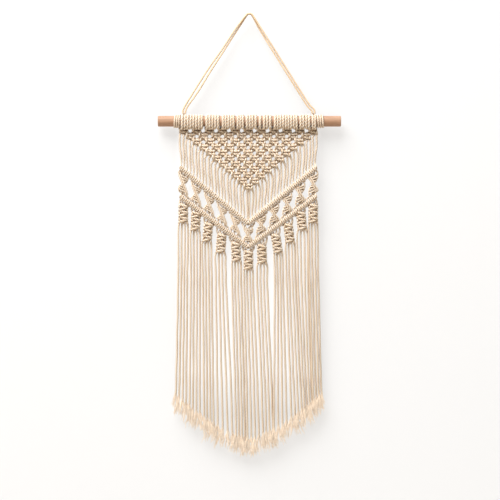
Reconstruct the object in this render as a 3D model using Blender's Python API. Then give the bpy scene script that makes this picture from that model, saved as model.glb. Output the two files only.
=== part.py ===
"""Macrame wall hanging on a wooden dowel, with its doubled hanging cord.

Metres, +Z up. The front faces -Y and the wall is on the +Y side. The origin is the hanging
point: the underside of the cord where it lies over the wall nail, which isn't part of the model.

From the top: the hanging cord and its two hitches, the dowel, the heading of 44 wraps, a triangle
of alternating square knots, free strands, a V bar, spiral sinnets, a second V bar, square-knot
sinnets and the fringe.
"""

import math
from collections import namedtuple

import bmesh
import bpy
from mathutils import Vector

MM = 0.001

# Colours: linear base colour, roughness.
COTTON = (0.80, 0.64, 0.44), 0.9
SHADED_COTTON = (0.72, 0.56, 0.37), 0.9
WOOD = (0.62, 0.40, 0.26), 0.6

# Clearance between two pieces that meet.
GAP = 0.3 * MM

# The dowel.
DOWEL_LENGTH = 256 * MM
DOWEL_RADIUS = 7.5 * MM
DOWEL_CHAMFER = 0.6 * MM
DOWEL_SIDES = 28
DOWEL_Z = -149.1 * MM

# The cords of the panel: 22 of them, folded over the dowel, so 44 strands hang from it.
STRANDS = 44
STRAND_RADIUS = 2.05 * MM
STRAND_SPACING = 4.43 * MM
STRAND_STAGGER = 0.7 * MM  # neighbours lie this far in front of and behind the middle
# The knotted panel hangs a little to the left of the nail.
PANEL_X = -1.7 * MM

# Wraps on the dowel, in runs with bare wood between them: ends of the run from the panel's
# middle, and wraps in it.
Run = namedtuple("Run", "left right wraps")
HEADING = (
    Run(-94.1, -62.9, 8),
    Run(-59.6, -40.2, 5),
    Run(-36.7, -18.8, 5),
    Run(-16.1, -5.9, 3),
    Run(-3.6, 12.0, 4),
    Run(14.7, 18.2, 1),
    Run(20.4, 32.5, 3),
    Run(35.7, 69.3, 9),
    Run(71.3, 86.7, 4),
    Run(88.5, 94.9, 2),
)
HITCH_LEFT = Run(-103.4, -94.5, 3)
HITCH_RIGHT = Run(95.3, 104.9, 3)
WRAP_SIDES = 8
WRAP_CREST = 9.75 * MM
WRAP_VALLEY = 9.0 * MM
WRAP_BORE = 8.45 * MM

# The triangle of alternating square knots: each row has one knot fewer than the row above it.
ROWS = 11
ROW_ONE_Z = -162.0 * MM
ROW_PITCH = 7.9 * MM
KNOT_PITCH_TOP = 18.1 * MM
KNOT_PITCH_TIP = 16.8 * MM
KNOT_CORDS = 4
PANEL_TOP_Z = -157.4 * MM
PANEL_CORNER_Z = -159.2 * MM  # lower at the ends, under the hitches
PANEL_CORNER_X = 90 * MM
PANEL_TIP_Z = -245.4 * MM
# Level lines of a row of knots: its place below the row's middle in row pitches, and how far the
# surface stands from the panel's middle plane on a knot and between two knots, in millimetres.
Level = namedtuple("Level", "drop knot between")
FRONT_LEVELS = (
    Level(-0.50, 2.7, 2.2),
    Level(-0.25, 4.9, 2.4),
    Level(0.00, 3.5, 2.2),
    Level(0.25, 4.7, 2.4),
)
BACK_LEVELS = (Level(-0.50, 2.7, 2.2), Level(0.00, 4.3, 2.2))
TOP_DROP = -0.50
EDGE_DEPTH = 1.6 * MM
FRONT_STATIONS = (-0.50, -0.30, 0.30)  # along a knot's pitch; the first is between two knots
BACK_STATIONS = (-0.50, 0.00)
# Diamond-shaped gaps between the knots of a row, over 4 mm in the upper rows only.
HOLE_ROWS = 4
HOLE_SIDES = 4
HOLE_WIDTH = 5.8 * MM
HOLE_HEIGHT = 5.0 * MM

# The V bars of double half hitches: ends of an arm, a ridge for each strand.
VBar = namedtuple("VBar", "end_x end_z apex_z")
UPPER_BAR = VBar(96.0 * MM, -213.7 * MM, -293.0 * MM)
LOWER_BAR = VBar(96.5 * MM, -253.7 * MM, -325.8 * MM)
ARM_RIDGES = STRANDS // 2
ARM_OVERRUN = 1.5 * MM  # past the apex, into the other arm
BAR_HEIGHT = 3.7 * MM
BAR_DEPTH = 5.2 * MM
BAR_VALLEY = 0.72

# Half-knot spiral sinnets between the bars.
SINNETS = 11
SINNET_SPACING = 18.2 * MM
SPIRAL_WIDTH = 13.0 * MM
SPIRAL_DEPTH = 6.4 * MM
SPIRAL_RINGS = 9
SPIRAL_NECK = 0.5  # its ends, inside the upper bar and above the lower one, are narrower
SPIRAL_START = math.radians(-120)
SPIRAL_TURN = math.radians(400)

# Square-knot sinnets below the lower bar.
KNOT_BARS = 5
SINNET_WIDTH = 14.0 * MM
SINNET_DEPTH = 4.4 * MM
SINNET_NOTCH = 0.68
SINNET_SWAY = 0.9 * MM

# The fringe, a row for each sinnet: its foot, then the middle and width of its four strands at
# the upper and the lower level.
Lock = namedtuple("Lock", "foot_x foot_z upper_x upper_width lower_x lower_width")
FRINGE = (
    Lock(-90.9, -291.1, -91.7, 12.6, -93.7, 14.0),
    Lock(-74.2, -301.8, -74.1, 12.6, -74.8, 14.0),
    Lock(-58.1, -317.4, -57.3, 12.6, -55.6, 13.0),
    Lock(-38.9, -332.9, -38.4, 14.0, -33.9, 19.0),
    Lock(-16.4, -344.7, -16.4, 12.6, -12.2, 12.6),
    Lock(0.3, -356.4, 0.4, 12.6, 5.3, 15.0),
    Lock(19.6, -347.9, 19.3, 14.0, 25.6, 14.0),
    Lock(42.1, -333.5, 43.1, 11.5, 44.5, 16.0),
    Lock(58.7, -318.9, 59.9, 12.6, 65.9, 14.0),
    Lock(75.9, -301.3, 76.7, 14.0, 82.3, 11.5),
    Lock(90.9, -291.1, 92.1, 12.0, 96.0, 11.5),
)
FRINGE_UPPER_Z = -374 * MM
FRINGE_LOWER_Z = -514 * MM
FOOT_DEPTH = 4 * MM  # the strands start this far up inside their sinnet
FOOT_WIDTH = 9 * MM
# The hem: where the plies open out, lowest in the middle.
HEM_MIDDLE_Z = -595 * MM
HEM_RISE = 63 * MM
HEM_HALF_WIDTH = 103 * MM
HEM_POWER = 1.5
TUFT_LENGTH = 22 * MM
TUFT_SPREAD = 4.0 * MM
TUFT_LEAN = 2.2 * MM  # neighbours lean forwards and backwards, clear of each other
TUFT_SWELL = 0.9

# The hanging cord: the pair's middle line from the left end over the nail to the right end, and
# half the distance between its two strands.
CORD_RADIUS = 1.4 * MM
Place = namedtuple("Place", "x z part")
CORD_ROUTE = (
    Place(-91.6, -138.4, 1.8),
    Place(-90.9, -133.5, 1.8),
    Place(-87.4, -126.3, 1.8),
    Place(-73.4, -105.3, 2.5),
    Place(-55.9, -77.3, 2.2),
    Place(-37.0, -49.3, 1.6),
    Place(-18.8, -21.3, 1.7),
    Place(-10.5, -9.4, 1.7),
    Place(-3.4, 0.2, 1.6),
    Place(0.0, 1.4, 1.6),
    Place(3.4, 0.2, 1.6),
    Place(9.4, -9.6, 1.7),
    Place(16.2, -21.3, 1.7),
    Place(33.7, -49.3, 1.6),
    Place(51.2, -77.3, 1.6),
    Place(68.7, -105.3, 1.6),
    Place(82.3, -126.3, 1.7),
    Place(88.9, -133.5, 1.85),
    Place(89.6, -138.4, 1.85),
)
CORD_APEX = 9  # the place in the route that lies over the nail
LEG_POINTS = 17  # for each leg, set closer together near the nail
LEG_CROWDING = 1.4
SMOOTH_STEPS = 12
CORD_CROSSING = 32 * MM  # over this distance from the nail the strands turn from beside to above


def clear_scene():
    for old in list(bpy.data.objects):
        bpy.data.objects.remove(old, do_unlink=True)


def make_material(name, finish):
    colour, roughness = finish
    material = bpy.data.materials.new(name)
    material.use_nodes = True
    shader = material.node_tree.nodes["Principled BSDF"]
    shader.inputs["Base Color"].default_value = (*colour, 1)
    shader.inputs["Roughness"].default_value = roughness
    shader.inputs["Metallic"].default_value = 0
    return material


def add_object(name, data, material=None):
    thing = bpy.data.objects.new(name, data)
    bpy.context.scene.collection.objects.link(thing)
    if material:
        data.materials.append(material)
    return thing


def add_solid(name, points, faces, material=None):
    """An object from a closed mesh, with its faces turned outwards."""
    mesh = bpy.data.meshes.new(name)
    mesh.from_pydata([tuple(p) for p in points], [], faces)
    bm = bmesh.new()
    bm.from_mesh(mesh)
    bmesh.ops.recalc_face_normals(bm, faces=bm.faces)
    bm.to_mesh(mesh)
    bm.free()
    return add_object(name, mesh, material)


def make_guide(thing, collection):
    """Move an operand of a Boolean into its collection, out of the finished model."""
    bpy.context.scene.collection.objects.unlink(thing)
    collection.objects.link(thing)
    thing.hide_render = True
    thing.display_type = "WIRE"


def add_boolean(thing, operation, collection):
    step = thing.modifiers.new(operation.capitalize(), "BOOLEAN")
    step.operation = operation
    step.operand_type = "COLLECTION"
    step.collection = collection
    step.solver = "EXACT"


def new_collection(name):
    collection = bpy.data.collections.new(name)
    bpy.context.scene.collection.children.link(collection)
    return collection


def lerp(a, b, t):
    return a + (b - a) * t


def loft(rings):
    """Points and faces of a closed solid through rings that have equally many points."""
    sides = len(rings[0])
    points = [p for ring in rings for p in ring]
    faces = [tuple(range(sides)), tuple(range(len(points) - sides, len(points)))]
    for first in range(0, len(points) - sides, sides):
        for s in range(sides):
            a, b = first + s, first + (s + 1) % sides
            faces.append((a, b, b + sides, a + sides))
    return points, faces


def smooth_through(knots):
    """Closely set points along a Catmull-Rom curve through the given points."""
    fine = []
    padded = [knots[0], *knots, knots[-1]]
    for a, b, c, d in zip(padded, padded[1:], padded[2:], padded[3:]):
        for k in range(SMOOTH_STEPS):
            t = k / SMOOTH_STEPS
            fine.append(
                0.5 * (2 * b + (c - a) * t + (2 * a - 5 * b + 4 * c - d) * t**2
                       + (3 * b - a - 3 * c + d) * t**3)
            )
    fine.append(knots[-1])
    return fine


def points_along(line, shares):
    """The points of a line at the given shares of its length."""
    along = [0.0]
    for a, b in zip(line, line[1:]):
        along.append(along[-1] + (b - a).length)
    found, at = [], 0
    for share in shares:
        target = along[-1] * share
        while at < len(line) - 2 and along[at + 1] < target:
            at += 1
        step = (target - along[at]) / (along[at + 1] - along[at])
        found.append(line[at].lerp(line[at + 1], min(step, 1)))
    return found


# ---- dowel and wraps ----


def build_dowel(material):
    half = DOWEL_LENGTH / 2
    rings = []
    for x, radius in (
        (-half, DOWEL_RADIUS - DOWEL_CHAMFER),
        (-half + DOWEL_CHAMFER, DOWEL_RADIUS),
        (half - DOWEL_CHAMFER, DOWEL_RADIUS),
        (half, DOWEL_RADIUS - DOWEL_CHAMFER),
    ):
        rings.append(wheel(x, radius, DOWEL_SIDES))
    dowel = add_solid("dowel", *loft(rings), material)
    dowel.data.shade_smooth()
    dowel.data.set_sharp_from_angle(angle=math.radians(30))
    return dowel


def wheel(x, radius, sides):
    """Points round the dowel's axis at one place along it."""
    turns = [2 * math.pi * s / sides for s in range(sides)]
    return [Vector((x, radius * math.cos(a), DOWEL_Z + radius * math.sin(a))) for a in turns]


def wrap_sleeve(name, run, material=None):
    """Wraps side by side round the dowel: a sleeve with a ridge for each wrap."""
    left, right = run.left * MM + PANEL_X, run.right * MM + PANEL_X
    steps = 2 * run.wraps
    outside = [
        wheel(lerp(left, right, k / steps), WRAP_CREST if k % 2 else WRAP_VALLEY, WRAP_SIDES)
        for k in range(steps + 1)
    ]
    inside = [wheel(right, WRAP_BORE, WRAP_SIDES), wheel(left, WRAP_BORE, WRAP_SIDES)]
    rings = outside + inside
    points = [p for ring in rings for p in ring]
    faces = []
    for k in range(len(rings)):
        here, there = k * WRAP_SIDES, (k + 1) % len(rings) * WRAP_SIDES
        for s in range(WRAP_SIDES):
            after = (s + 1) % WRAP_SIDES
            faces.append((here + s, here + after, there + after, there + s))
    return add_solid(name, points, faces, material)


# ---- the triangle of square knots ----


def row_pitch(row):
    return lerp(KNOT_PITCH_TOP, KNOT_PITCH_TIP, row / (ROWS - 1))


def row_z(row):
    return ROW_ONE_Z - ROW_PITCH * row


def level_line(row, level, stations, side):
    """Points across one row of knots at one level; side is -1 on the front and 1 on the back."""
    knots, pitch = ROWS - row, row_pitch(row)
    z = row_z(row) - level.drop * ROW_PITCH
    line = []
    for knot in range(knots):
        middle = (knot - (knots - 1) / 2) * pitch
        for at in stations:
            between = at == stations[0]
            depth = (level.between if between else level.knot) * MM
            if between and knot == 0:
                depth = EDGE_DEPTH
            line.append(Vector((PANEL_X + middle + at * pitch, side * depth, z)))
    line.append(Vector((PANEL_X + knots * pitch / 2, side * EDGE_DEPTH, z)))
    if row == 0 and level.drop == TOP_DROP:
        for p in line:
            p.z = PANEL_TOP_Z if abs(p.x - PANEL_X) < PANEL_CORNER_X else PANEL_CORNER_Z
    return line


def tip_line(stations, side):
    """The lower edge of the last knot."""
    pitch = row_pitch(ROWS - 1)
    places = [at * pitch for at in stations] + [pitch / 2]
    return [Vector((PANEL_X + x * 0.8, side * EDGE_DEPTH, PANEL_TIP_Z)) for x in places]


def zip_lines(upper, lower, key, faces):
    """Triangles between two lines of (index, point) that are both sorted by the key."""
    a, b = 0, 0
    while a < len(upper) - 1 or b < len(lower) - 1:
        step_upper = b == len(lower) - 1 or (
            a < len(upper) - 1 and key(upper[a + 1][1]) <= key(lower[b + 1][1])
        )
        if step_upper:
            faces.append((upper[a][0], upper[a + 1][0], lower[b][0]))
            a += 1
        else:
            faces.append((upper[a][0], lower[b + 1][0], lower[b][0]))
            b += 1


def build_triangle(material):
    """The knotted triangle: a closed skin over level lines, ridged like the knots."""
    points, faces, sheets = [], [], []
    for side, levels, stations in (
        (-1, FRONT_LEVELS, FRONT_STATIONS),
        (1, BACK_LEVELS, BACK_STATIONS),
    ):
        lines = [level_line(row, lv, stations, side) for row in range(ROWS) for lv in levels]
        lines.append(tip_line(stations, side))
        sheet = []
        for line in lines:
            sheet.append([(len(points) + k, p) for k, p in enumerate(line)])
            points.extend(line)
        for upper, lower in zip(sheet, sheet[1:]):
            zip_lines(upper, lower, lambda p: p.x, faces)
        sheets.append(sheet)
    front, back = sheets
    for end in (0, -1):
        rim = [[line[end] for line in sheet] for sheet in (front, back)]
        zip_lines(*rim, lambda p: -p.z, faces)
    for end in (0, -1):
        zip_lines(front[end], back[end], lambda p: p.x, faces)
    return add_solid("macrame_panel", points, faces, material)


def build_hole(row, index):
    """A diamond-shaped cutter between two knots of a row."""
    x = PANEL_X + (index - (ROWS - 2 - row) / 2) * row_pitch(row)
    reach = 10 * MM
    outline = []
    for k in range(HOLE_SIDES):
        turn = 2 * math.pi * k / HOLE_SIDES
        outline.append((x + HOLE_WIDTH / 2 * math.cos(turn),
                        row_z(row) + HOLE_HEIGHT / 2 * math.sin(turn)))
    rings = [[Vector((px, y, pz)) for px, pz in outline] for y in (-reach, reach)]
    return add_solid(f"hole_{row}_{index}", *loft(rings))


# ---- strands, bars and sinnets ----


def bar_z(bar, x):
    """Height of a V bar's middle line at a place across the panel."""
    across = min(abs(x - PANEL_X) / bar.end_x, 1.05)
    return lerp(bar.apex_z, bar.end_z, across)


def bar_slope(bar):
    return math.atan2(bar.end_z - bar.apex_z, bar.end_x)


def strand_rings(path, radius):
    """Four-sided rings, level, with an edge at the front."""
    corners = ((-radius, 0), (0, -radius), (radius, 0), (0, radius))
    return [[p + Vector((cx, cy, 0)) for cx, cy in corners] for p in path]


def build_free_strand(index):
    """A strand from the row of knots where it leaves the triangle down to the upper bar."""
    from_edge = min(index, STRANDS - 1 - index)
    row = from_edge // 2
    side = -1 if index < STRANDS / 2 else 1
    pitch = row_pitch(row)
    in_row = from_edge - 2 * row + 0.5
    top_x = PANEL_X + side * ((ROWS - row) * pitch / 2 - in_row * pitch / KNOT_CORDS)
    end_x = PANEL_X + STRAND_SPACING * (index - (STRANDS - 1) / 2)
    y = STRAND_STAGGER * (1 if index % 2 else -1)
    nearer = 0.25 * MM * (-1 if index % 2 else 1)  # strands run in pairs
    top_z, end_z = row_z(row) - 0.1 * ROW_PITCH, bar_z(UPPER_BAR, end_x)
    path = [
        Vector((top_x, y, top_z)),
        Vector((lerp(top_x, end_x, 0.6) + nearer, y, lerp(top_z, end_z, 0.5))),
        Vector((end_x, y, end_z)),
    ]
    return add_solid(f"strand_{index}", *loft(strand_rings(path, STRAND_RADIUS)))


def build_arm(name, bar, side):
    """One arm of a V bar, with a ridge across it for each strand hitched on it."""
    start = Vector((PANEL_X + side * bar.end_x, 0, bar.end_z))
    end = Vector((PANEL_X, 0, bar.apex_z))
    along = (end - start).normalized()
    end += along * ARM_OVERRUN
    up = Vector((-along.z, 0, along.x)) * (1 if along.x > 0 else -1)
    front = Vector((0, -1, 0))
    section = ((1, 0), (0.55, 1), (-0.55, 1), (-1, 0), (0, -1))
    steps = 2 * ARM_RIDGES
    rings = []
    for k in range(steps + 1):
        swell = 1 if k % 2 else BAR_VALLEY
        middle = start.lerp(end, k / steps)
        rings.append(
            [middle + up * (u * swell * BAR_HEIGHT) + front * (v * swell * BAR_DEPTH)
             for u, v in section]
        )
    return add_solid(name, *loft(rings))


def build_spiral(index):
    """A half-knot sinnet: a flat column twisted between the two bars."""
    x = PANEL_X + SINNET_SPACING * (index - (SINNETS - 1) / 2)
    seat = (BAR_HEIGHT + GAP) / math.cos(bar_slope(LOWER_BAR))
    corners = ((-1, -1), (1, -1), (1, 1), (-1, 1))
    rings = []
    for k in range(SPIRAL_RINGS):
        t = k / (SPIRAL_RINGS - 1)
        turn = SPIRAL_START + SPIRAL_TURN * t
        swell = SPIRAL_NECK if k in (0, SPIRAL_RINGS - 1) else 1
        ring = []
        for cx, cy in corners:
            across, deep = cx * swell * SPIRAL_WIDTH / 2, cy * swell * SPIRAL_DEPTH / 2
            px = x + across * math.cos(turn) - deep * math.sin(turn)
            py = across * math.sin(turn) + deep * math.cos(turn)
            slant_x = lerp(x, px, (2 * t - 1) ** 2)  # slanted like the bars at its ends only
            top, foot = bar_z(UPPER_BAR, slant_x), bar_z(LOWER_BAR, slant_x) + seat
            ring.append(Vector((px, py, lerp(top, foot, t))))
        rings.append(ring)
    return add_solid(f"spiral_{index}", *loft(rings))


def build_sinnet(index):
    """A square-knot sinnet: a ridged column that sways from side to side."""
    lock = FRINGE[index]
    top_x = PANEL_X + SINNET_SPACING * (index - (SINNETS - 1) / 2)
    foot_x, foot_z = PANEL_X + lock.foot_x * MM, lock.foot_z * MM
    section = ((-0.5, 0), (-0.3, -1), (0.3, -1), (0.5, 0), (0, 1))
    steps = 2 * KNOT_BARS
    rings = []
    for k in range(steps + 1):
        t = k / steps
        swell = 1 if k % 2 or k == steps else SINNET_NOTCH
        sway = SINNET_SWAY * (1 if k % 4 < 2 else -1)
        middle = lerp(top_x, foot_x, t) + sway
        ring = []
        for u, v in section:
            px = middle + u * swell * SINNET_WIDTH
            top = bar_z(LOWER_BAR, px)
            ring.append(Vector((px, v * swell * SINNET_DEPTH, lerp(top, foot_z, t))))
        rings.append(ring)
    return add_solid(f"sinnet_{index}", *loft(rings))


def hem_z(x):
    return HEM_MIDDLE_Z + HEM_RISE * (abs(x - PANEL_X) / HEM_HALF_WIDTH) ** HEM_POWER


def build_fringe_strand(index):
    """A strand of the fringe, whose plies part into two splayed locks at its end."""
    lock = FRINGE[index // KNOT_CORDS]
    place = (index % KNOT_CORDS - 1.5) / (KNOT_CORDS - 1)  # -0.5 to 0.5 across the four
    y = STRAND_STAGGER * (1 if index % 2 else -1)
    foot_x = PANEL_X + lock.foot_x * MM + place * FOOT_WIDTH
    upper_x = PANEL_X + (lock.upper_x + place * lock.upper_width) * MM
    lower_x = PANEL_X + (lock.lower_x + place * lock.lower_width) * MM
    hem_x = lerp(upper_x, lower_x, 1.35)
    path = [
        Vector((foot_x, y, lock.foot_z * MM + FOOT_DEPTH)),
        Vector((upper_x, y, FRINGE_UPPER_Z)),
        Vector((lower_x, y, FRINGE_LOWER_Z)),
        Vector((hem_x, y, hem_z(hem_x))),
    ]
    rings = strand_rings(path, STRAND_RADIUS)
    points, faces = loft(rings)
    faces.pop(1)
    left, front, right, back = range(len(points) - 4, len(points))
    end = path[-1]
    for side, root in ((-1, (left, front, back)), (1, (right, back, front))):
        splay = Vector((side * TUFT_SPREAD, math.copysign(TUFT_LEAN, y), -TUFT_LENGTH))
        middle = len(points)
        points.extend(end + splay * 0.55 + (points[k] - end) * TUFT_SWELL for k in root)
        points.append(end + splay)
        tip = middle + 3
        for k in range(3):
            after = (k + 1) % 3
            faces.append((root[k], root[after], middle + after, middle + k))
            faces.append((middle + k, middle + after, tip))
    return add_solid(f"fringe_{index}", points, faces)


# ---- hanging cord ----


def cord_line(side):
    """Points of one strand of the hanging cord; side is 1 for the upper and -1 for the lower."""
    middle = [Vector((p.x * MM, 0, p.z * MM)) for p in CORD_ROUTE]
    route = []
    for k, p in enumerate(middle):
        before, after = middle[max(k - 1, 0)], middle[min(k + 1, len(middle) - 1)]
        along = (after - before).normalized()
        above = Vector((-along.z, 0, along.x))
        if k in (0, len(middle) - 1):
            above = Vector((-1 if k == 0 else 1, 0, 0))
        turn = max(0, 1 - abs(p.x) / CORD_CROSSING) * math.pi / 2
        away = above * math.cos(turn) + Vector((0, -1, 0)) * math.sin(turn)
        route.append(p + away * (side * CORD_ROUTE[k].part * MM))
    line, apex = smooth_through(route), CORD_APEX * SMOOTH_STEPS
    shares = [(k / LEG_POINTS) ** LEG_CROWDING for k in range(LEG_POINTS + 1)]
    left, right = points_along(line[apex::-1], shares), points_along(line[apex:], shares)
    return left[::-1] + right[1:]


def build_cord(name, side, material):
    curve = bpy.data.curves.new(name, "CURVE")
    curve.dimensions = "3D"
    curve.bevel_depth = CORD_RADIUS
    curve.bevel_resolution = 2
    curve.use_fill_caps = True
    spline = curve.splines.new("POLY")
    line = cord_line(side)
    spline.points.add(len(line) - 1)
    for point, place in zip(spline.points, line):
        point.co = (*place, 1)
    return add_object(name, curve, material)


def build_panel(material):
    """Heading, triangle, free strands, upper bar and spirals, fused into one body."""
    panel = build_triangle(material)
    holes, fused = new_collection("panel_holes"), new_collection("panel_pieces")
    for row in range(HOLE_ROWS):
        for index in range(ROWS - 1 - row):
            make_guide(build_hole(row, index), holes)
    for index, run in enumerate(HEADING):
        make_guide(wrap_sleeve(f"wraps_{index}", run), fused)
    for index in range(STRANDS):
        make_guide(build_free_strand(index), fused)
    for name, side in (("upper_arm_left", -1), ("upper_arm_right", 1)):
        make_guide(build_arm(name, UPPER_BAR, side), fused)
    for index in range(SINNETS):
        make_guide(build_spiral(index), fused)
    add_boolean(panel, "DIFFERENCE", holes)
    add_boolean(panel, "UNION", fused)
    return panel


def build_fringe(material):
    """Lower bar, square-knot sinnets and fringe strands, fused into one body."""
    fringe = build_arm("macrame_fringe", LOWER_BAR, -1)
    fringe.data.materials.append(material)
    fused = new_collection("fringe_pieces")
    make_guide(build_arm("lower_arm_right", LOWER_BAR, 1), fused)
    for index in range(SINNETS):
        make_guide(build_sinnet(index), fused)
    for index in range(STRANDS):
        make_guide(build_fringe_strand(index), fused)
    add_boolean(fringe, "UNION", fused)
    return fringe


def main():
    clear_scene()
    wood = make_material("dowel_wood", WOOD)
    cotton = make_material("cotton_cord", COTTON)
    shaded = make_material("hanger_cord", SHADED_COTTON)
    build_dowel(wood)
    build_cord("hanging_cord_a", 1, shaded)
    build_cord("hanging_cord_b", -1, shaded)
    wrap_sleeve("hanger_hitch_left", HITCH_LEFT, shaded)
    wrap_sleeve("hanger_hitch_right", HITCH_RIGHT, shaded)
    build_panel(cotton)
    build_fringe(cotton)


main()
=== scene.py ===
# %% [markdown]
# # A knotted cotton wall hanging
#
# This lesson dresses a plain solid model of a macrame hanging with real cord. The model gives
# the sizes and places. The knots could be modelled as lumps with a rope texture, but knots only
# look right when the strands really pass over and under each other. So each strand is laid as
# one continuous rope that wraps the dowel, runs through the knots and ends in an opened-out
# tuft.

# %% Load the frame
import math
import random
from collections import namedtuple

import bpy
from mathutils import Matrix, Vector


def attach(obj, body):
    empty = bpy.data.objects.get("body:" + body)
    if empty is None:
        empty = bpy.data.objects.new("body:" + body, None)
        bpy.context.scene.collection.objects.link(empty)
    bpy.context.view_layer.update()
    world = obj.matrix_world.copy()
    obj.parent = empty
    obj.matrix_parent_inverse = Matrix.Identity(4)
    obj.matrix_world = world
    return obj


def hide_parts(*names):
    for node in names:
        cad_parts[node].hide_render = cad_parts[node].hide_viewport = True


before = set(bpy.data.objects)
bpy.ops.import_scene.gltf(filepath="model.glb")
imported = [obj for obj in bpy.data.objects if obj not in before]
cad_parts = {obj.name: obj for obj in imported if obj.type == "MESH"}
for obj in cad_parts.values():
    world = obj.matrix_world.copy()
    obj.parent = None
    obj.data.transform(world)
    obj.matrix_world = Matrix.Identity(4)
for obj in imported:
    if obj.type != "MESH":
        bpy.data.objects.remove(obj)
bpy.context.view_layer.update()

MM = 0.001
print("solids:", ", ".join(sorted(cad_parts)))

# %% [markdown]
# ## Camera
#
# A wall hanging is long and flat, and is seen straight on. A wide lens close by would make the
# fringe lean away, so a long lens stands far off and keeps the strands parallel. The width of
# the view settles its distance.

# %% Camera
VIEW_WIDTH = 0.700
VIEW_CENTRE = Vector((0.0008, 0.0, -0.3293))
LENS = 100.0
SENSOR = 36.0


def add_object(name, data):
    thing = bpy.data.objects.new(name, data)
    bpy.context.scene.collection.objects.link(thing)
    return thing


camera_data = bpy.data.cameras.new("camera")
camera_data.lens = LENS
camera_data.sensor_width = SENSOR
camera = add_object("camera", camera_data)
camera.location = VIEW_CENTRE + Vector((0, -VIEW_WIDTH * LENS / SENSOR, 0))
camera.rotation_euler = (math.radians(90), 0, 0)
bpy.context.scene.camera = camera
print(f"camera {-camera.location.y:.2f} m in front of the hanging")

# %% [markdown]
# ## One way to wire nodes
#
# Materials and Geometry Nodes are both node trees. They could be drawn by hand in the editor,
# but a script makes the same tree in every run. This small class adds any node with its
# settings and inputs in one call, and its sockets can be added and multiplied like numbers, so
# a formula reads as a formula and not as a tangle of Math nodes.

# %% Node trees as expressions
def operator(operation, swapped=False):
    """A method that puts a Math node between a socket and another socket or number."""

    def apply(self, other):
        first, second = (other, self) if swapped else (self, other)
        return self.graph.node("ShaderNodeMath", {0: first, 1: second}, operation=operation)

    return apply


class Socket:
    """An output of a node, which Python's operators combine through Math nodes."""

    def __init__(self, graph, output):
        self.graph = graph
        self.output = output

    # The swapped forms are for a number in front, as in 1 - mask.
    __add__, __radd__ = operator("ADD"), operator("ADD", swapped=True)
    __sub__, __rsub__ = operator("SUBTRACT"), operator("SUBTRACT", swapped=True)
    __mul__, __rmul__ = operator("MULTIPLY"), operator("MULTIPLY", swapped=True)
    __truediv__, __rtruediv__ = operator("DIVIDE"), operator("DIVIDE", swapped=True)
    __pow__, __rpow__ = operator("POWER"), operator("POWER", swapped=True)


class Graph:
    """A node tree that is being built."""

    def __init__(self, tree):
        self.tree = tree

    def wire(self, node, sockets):
        """Give a node's inputs their values, which are sockets, numbers or colours."""
        for key, value in sockets.items():
            target = node.inputs[key]
            if isinstance(value, Socket):
                self.tree.links.new(value.output, target)
            elif target.type == "RGBA" and len(value) == 3:
                target.default_value = (*value, 1.0)
            else:
                target.default_value = value

    def node(self, kind, sockets=None, out=0, **settings):
        """Add a node with its settings and inputs; the result is one of its outputs."""
        node = self.tree.nodes.new(kind)
        for name, value in settings.items():
            setattr(node, name, value)
        self.wire(node, sockets or {})
        return Socket(self, node.outputs[out])

    def mix(self, factor, first, second, blend="MIX"):
        colours = {0: factor, 6: first, 7: second}
        return self.node("ShaderNodeMix", colours, 2, data_type="RGBA", blend_type=blend)

    def vector(self, operation, first, second):
        """A Vector Math node, whose scale factor has a socket of its own."""
        place = 3 if operation == "SCALE" else 1
        return self.node("ShaderNodeVectorMath", {0: first, place: second}, operation=operation)

    def part(self, vector, axis):
        """The x, y or z of a vector."""
        return self.node("ShaderNodeSeparateXYZ", {0: vector}, "xyz".index(axis))

    def ramp(self, value, start, end, low=0.0, high=1.0):
        """From low to high while the value goes from start to end."""
        return self.node("ShaderNodeMapRange", {0: value, 1: start, 2: end, 3: low, 4: high})

    def noise(self, place, scale, detail=2.0, out=0):
        sockets = {"Vector": place, "Scale": scale, "Detail": detail}
        return self.node("ShaderNodeTexNoise", sockets, out)


print("node helpers ready")

# %% [markdown]
# ## Cotton
#
# The cord is undyed cotton, cream on the crown of each ply. Where two plies meet and where strands
# press together it is painted brownish, as painted shade in the grooves and crevices. An image of
# rope could be wrapped round each strand, but it would stretch where a strand bends and repeat
# along the fringe. So the shader reads what the rope carries with it: the place around its plies
# and along the strand, so the fibres follow the twist, and the strand's own tone.

# %% The cotton's material
CREAM = (0.94, 0.93, 0.875)
# Painted shade: the grooves between the plies are painted this brown.
PLY_GROOVE_SHADE = (0.50, 0.36, 0.23)
WARM = (0.88, 0.80, 0.63)
# Painted shade: surfaces that other strands shut in are painted towards this brown.
CREVICE_SHADE = (0.50, 0.275, 0.11)
GROOVE = 0.24  # depth of the grooves between the plies, as a share of the strand's radius
GROOVE_FLOOR = 0.9  # down to here, as a share of its depth, a groove changes colour
GROOVE_RIM = 0.1
# A surface less shut in than OPEN_ENOUGH gets no painted crevice shade.
OPEN_ENOUGH = 0.10  # a surface less shut in than this stays clean
CREVICE = 0.0021  # surfaces this close shut each other in
CREVICE_SAMPLES = 6
FIBRES_AROUND = 5.0
FIBRES_ALONG = 360.0
FIBRE_SCALE = 1.6
FIBRE_DEPTH = 0.00012
FIBRE_DARKEST = 0.88
FIBRE_CONTRAST = 0.22
PATCH_SCALE = 70.0
PATCH_WARMTH = 0.9
STRAND_WARMTH = 0.4


def new_material(name):
    """A material with the graph and the shader that make it."""
    material = bpy.data.materials.new(name)
    material.use_nodes = True
    return material, Graph(material.node_tree), material.node_tree.nodes["Principled BSDF"]


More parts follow.
